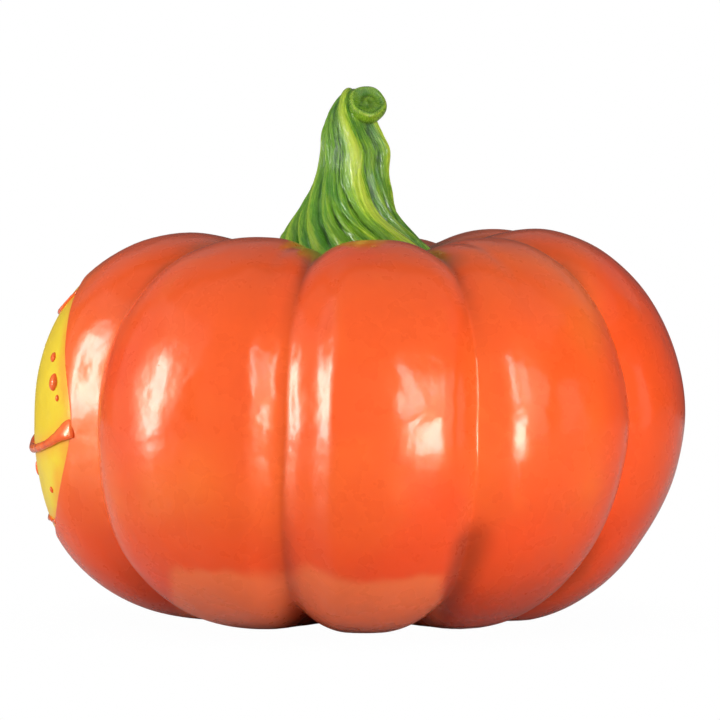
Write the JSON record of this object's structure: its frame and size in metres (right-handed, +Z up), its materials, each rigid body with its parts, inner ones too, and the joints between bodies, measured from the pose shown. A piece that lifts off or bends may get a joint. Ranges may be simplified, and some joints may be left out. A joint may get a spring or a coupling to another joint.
{
  "type": "carved pumpkin display prop",
  "caption": "Large moulded pumpkin with deep ribs, a curled fluted stem and a round carved-looking pale front with raised strands and drops of pulp; one closed rigid piece.",
  "frame": {"origin": "middle of the flat foot, under the stem", "axes": "+Z up along the stem, the carved front faces -Y, +X is the pumpkin's left side as it faces you"},
  "size_m": [0.9563, 0.9647, 0.7836],
  "materials": {
    "skin": "orange paint airbrushed darker in the grooves, under clear gloss",
    "flesh": "yellow paint with orange strands and drops, under clear gloss",
    "stem": "green paint brushed lighter on the ridges, under clear gloss"
  },
  "bodies": {
    "root": {"skin": "skin", "carved_flesh": "flesh", "stem": "stem"}
  },
  "joints": []
}
